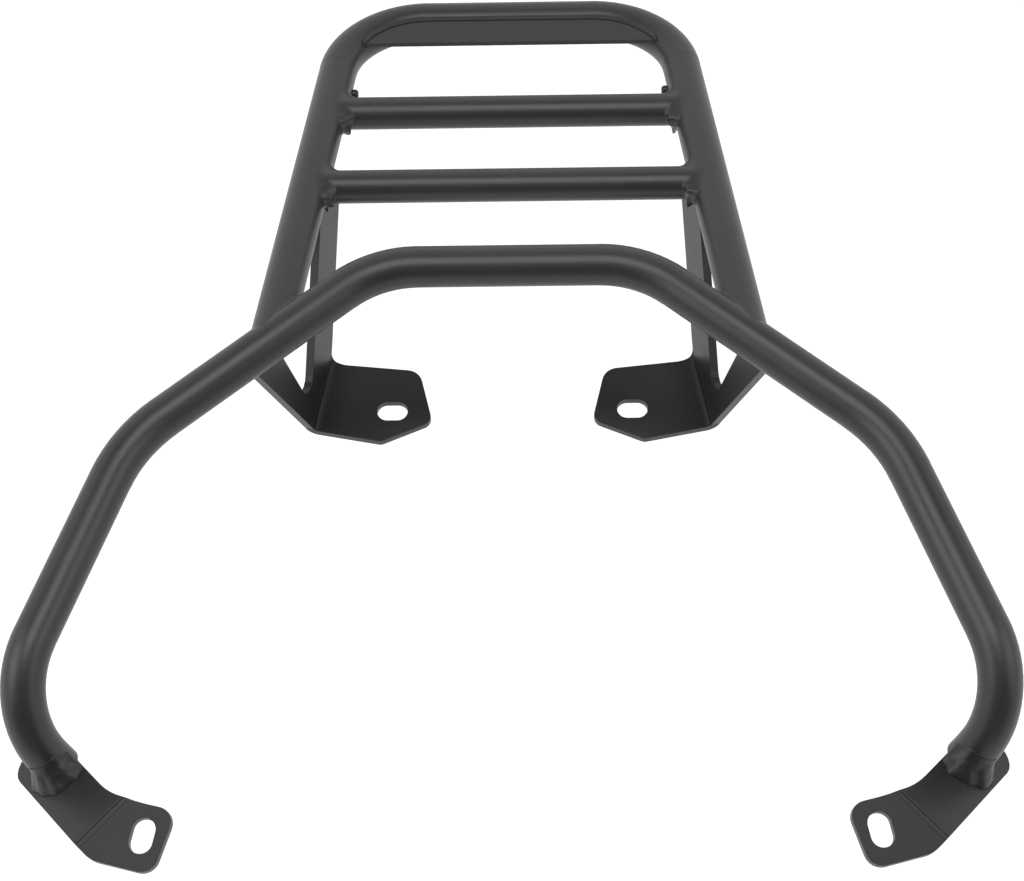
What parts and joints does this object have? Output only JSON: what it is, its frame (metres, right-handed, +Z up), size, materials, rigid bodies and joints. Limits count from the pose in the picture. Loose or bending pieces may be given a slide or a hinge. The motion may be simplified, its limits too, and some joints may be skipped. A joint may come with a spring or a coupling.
{
  "type": "motorcycle luggage rack",
  "caption": "Welded tube luggage rack with a level rear deck, a seat hoop, slotted side brackets and bent feet.",
  "frame": {"origin": "midway between the two slots of the side brackets, on the upper faces of their flanges", "axes": "+X across to the right seen from behind the seat looking back, +Y to the rear, +Z up; the deck tubes lie level"},
  "size_m": [0.4304, 0.4729, 0.1235],
  "materials": {
    "tube_coat": "satin black powder coat on steel tube",
    "sheet_coat": "satin black powder coat on steel sheet",
    "weld_coat": "satin black powder coat over weld beads"
  },
  "bodies": {
    "root": {"hoop_tube": "tube_coat", "deck_tube": "tube_coat", "front_crossbar": "tube_coat", "rear_crossbar": "tube_coat", "rear_plate": "sheet_coat", "left_bracket": "sheet_coat", "right_bracket": "sheet_coat", "left_foot": "sheet_coat", "right_foot": "sheet_coat", "left_stud": "sheet_coat", "right_stud": "sheet_coat", "rear_plate_weld": "weld_coat", "front_bar_weld_left": "weld_coat", "front_bar_weld_right": "weld_coat", "rear_bar_weld_left": "weld_coat", "rear_bar_weld_right": "weld_coat", "deck_weld_left": "weld_coat", "deck_weld_right": "weld_coat", "arm_weld_left": "weld_coat", "arm_weld_right": "weld_coat", "brace_weld_left": "weld_coat", "brace_weld_right": "weld_coat", "foot_weld_left": "weld_coat", "foot_weld_right": "weld_coat"}
  },
  "joints": []
}
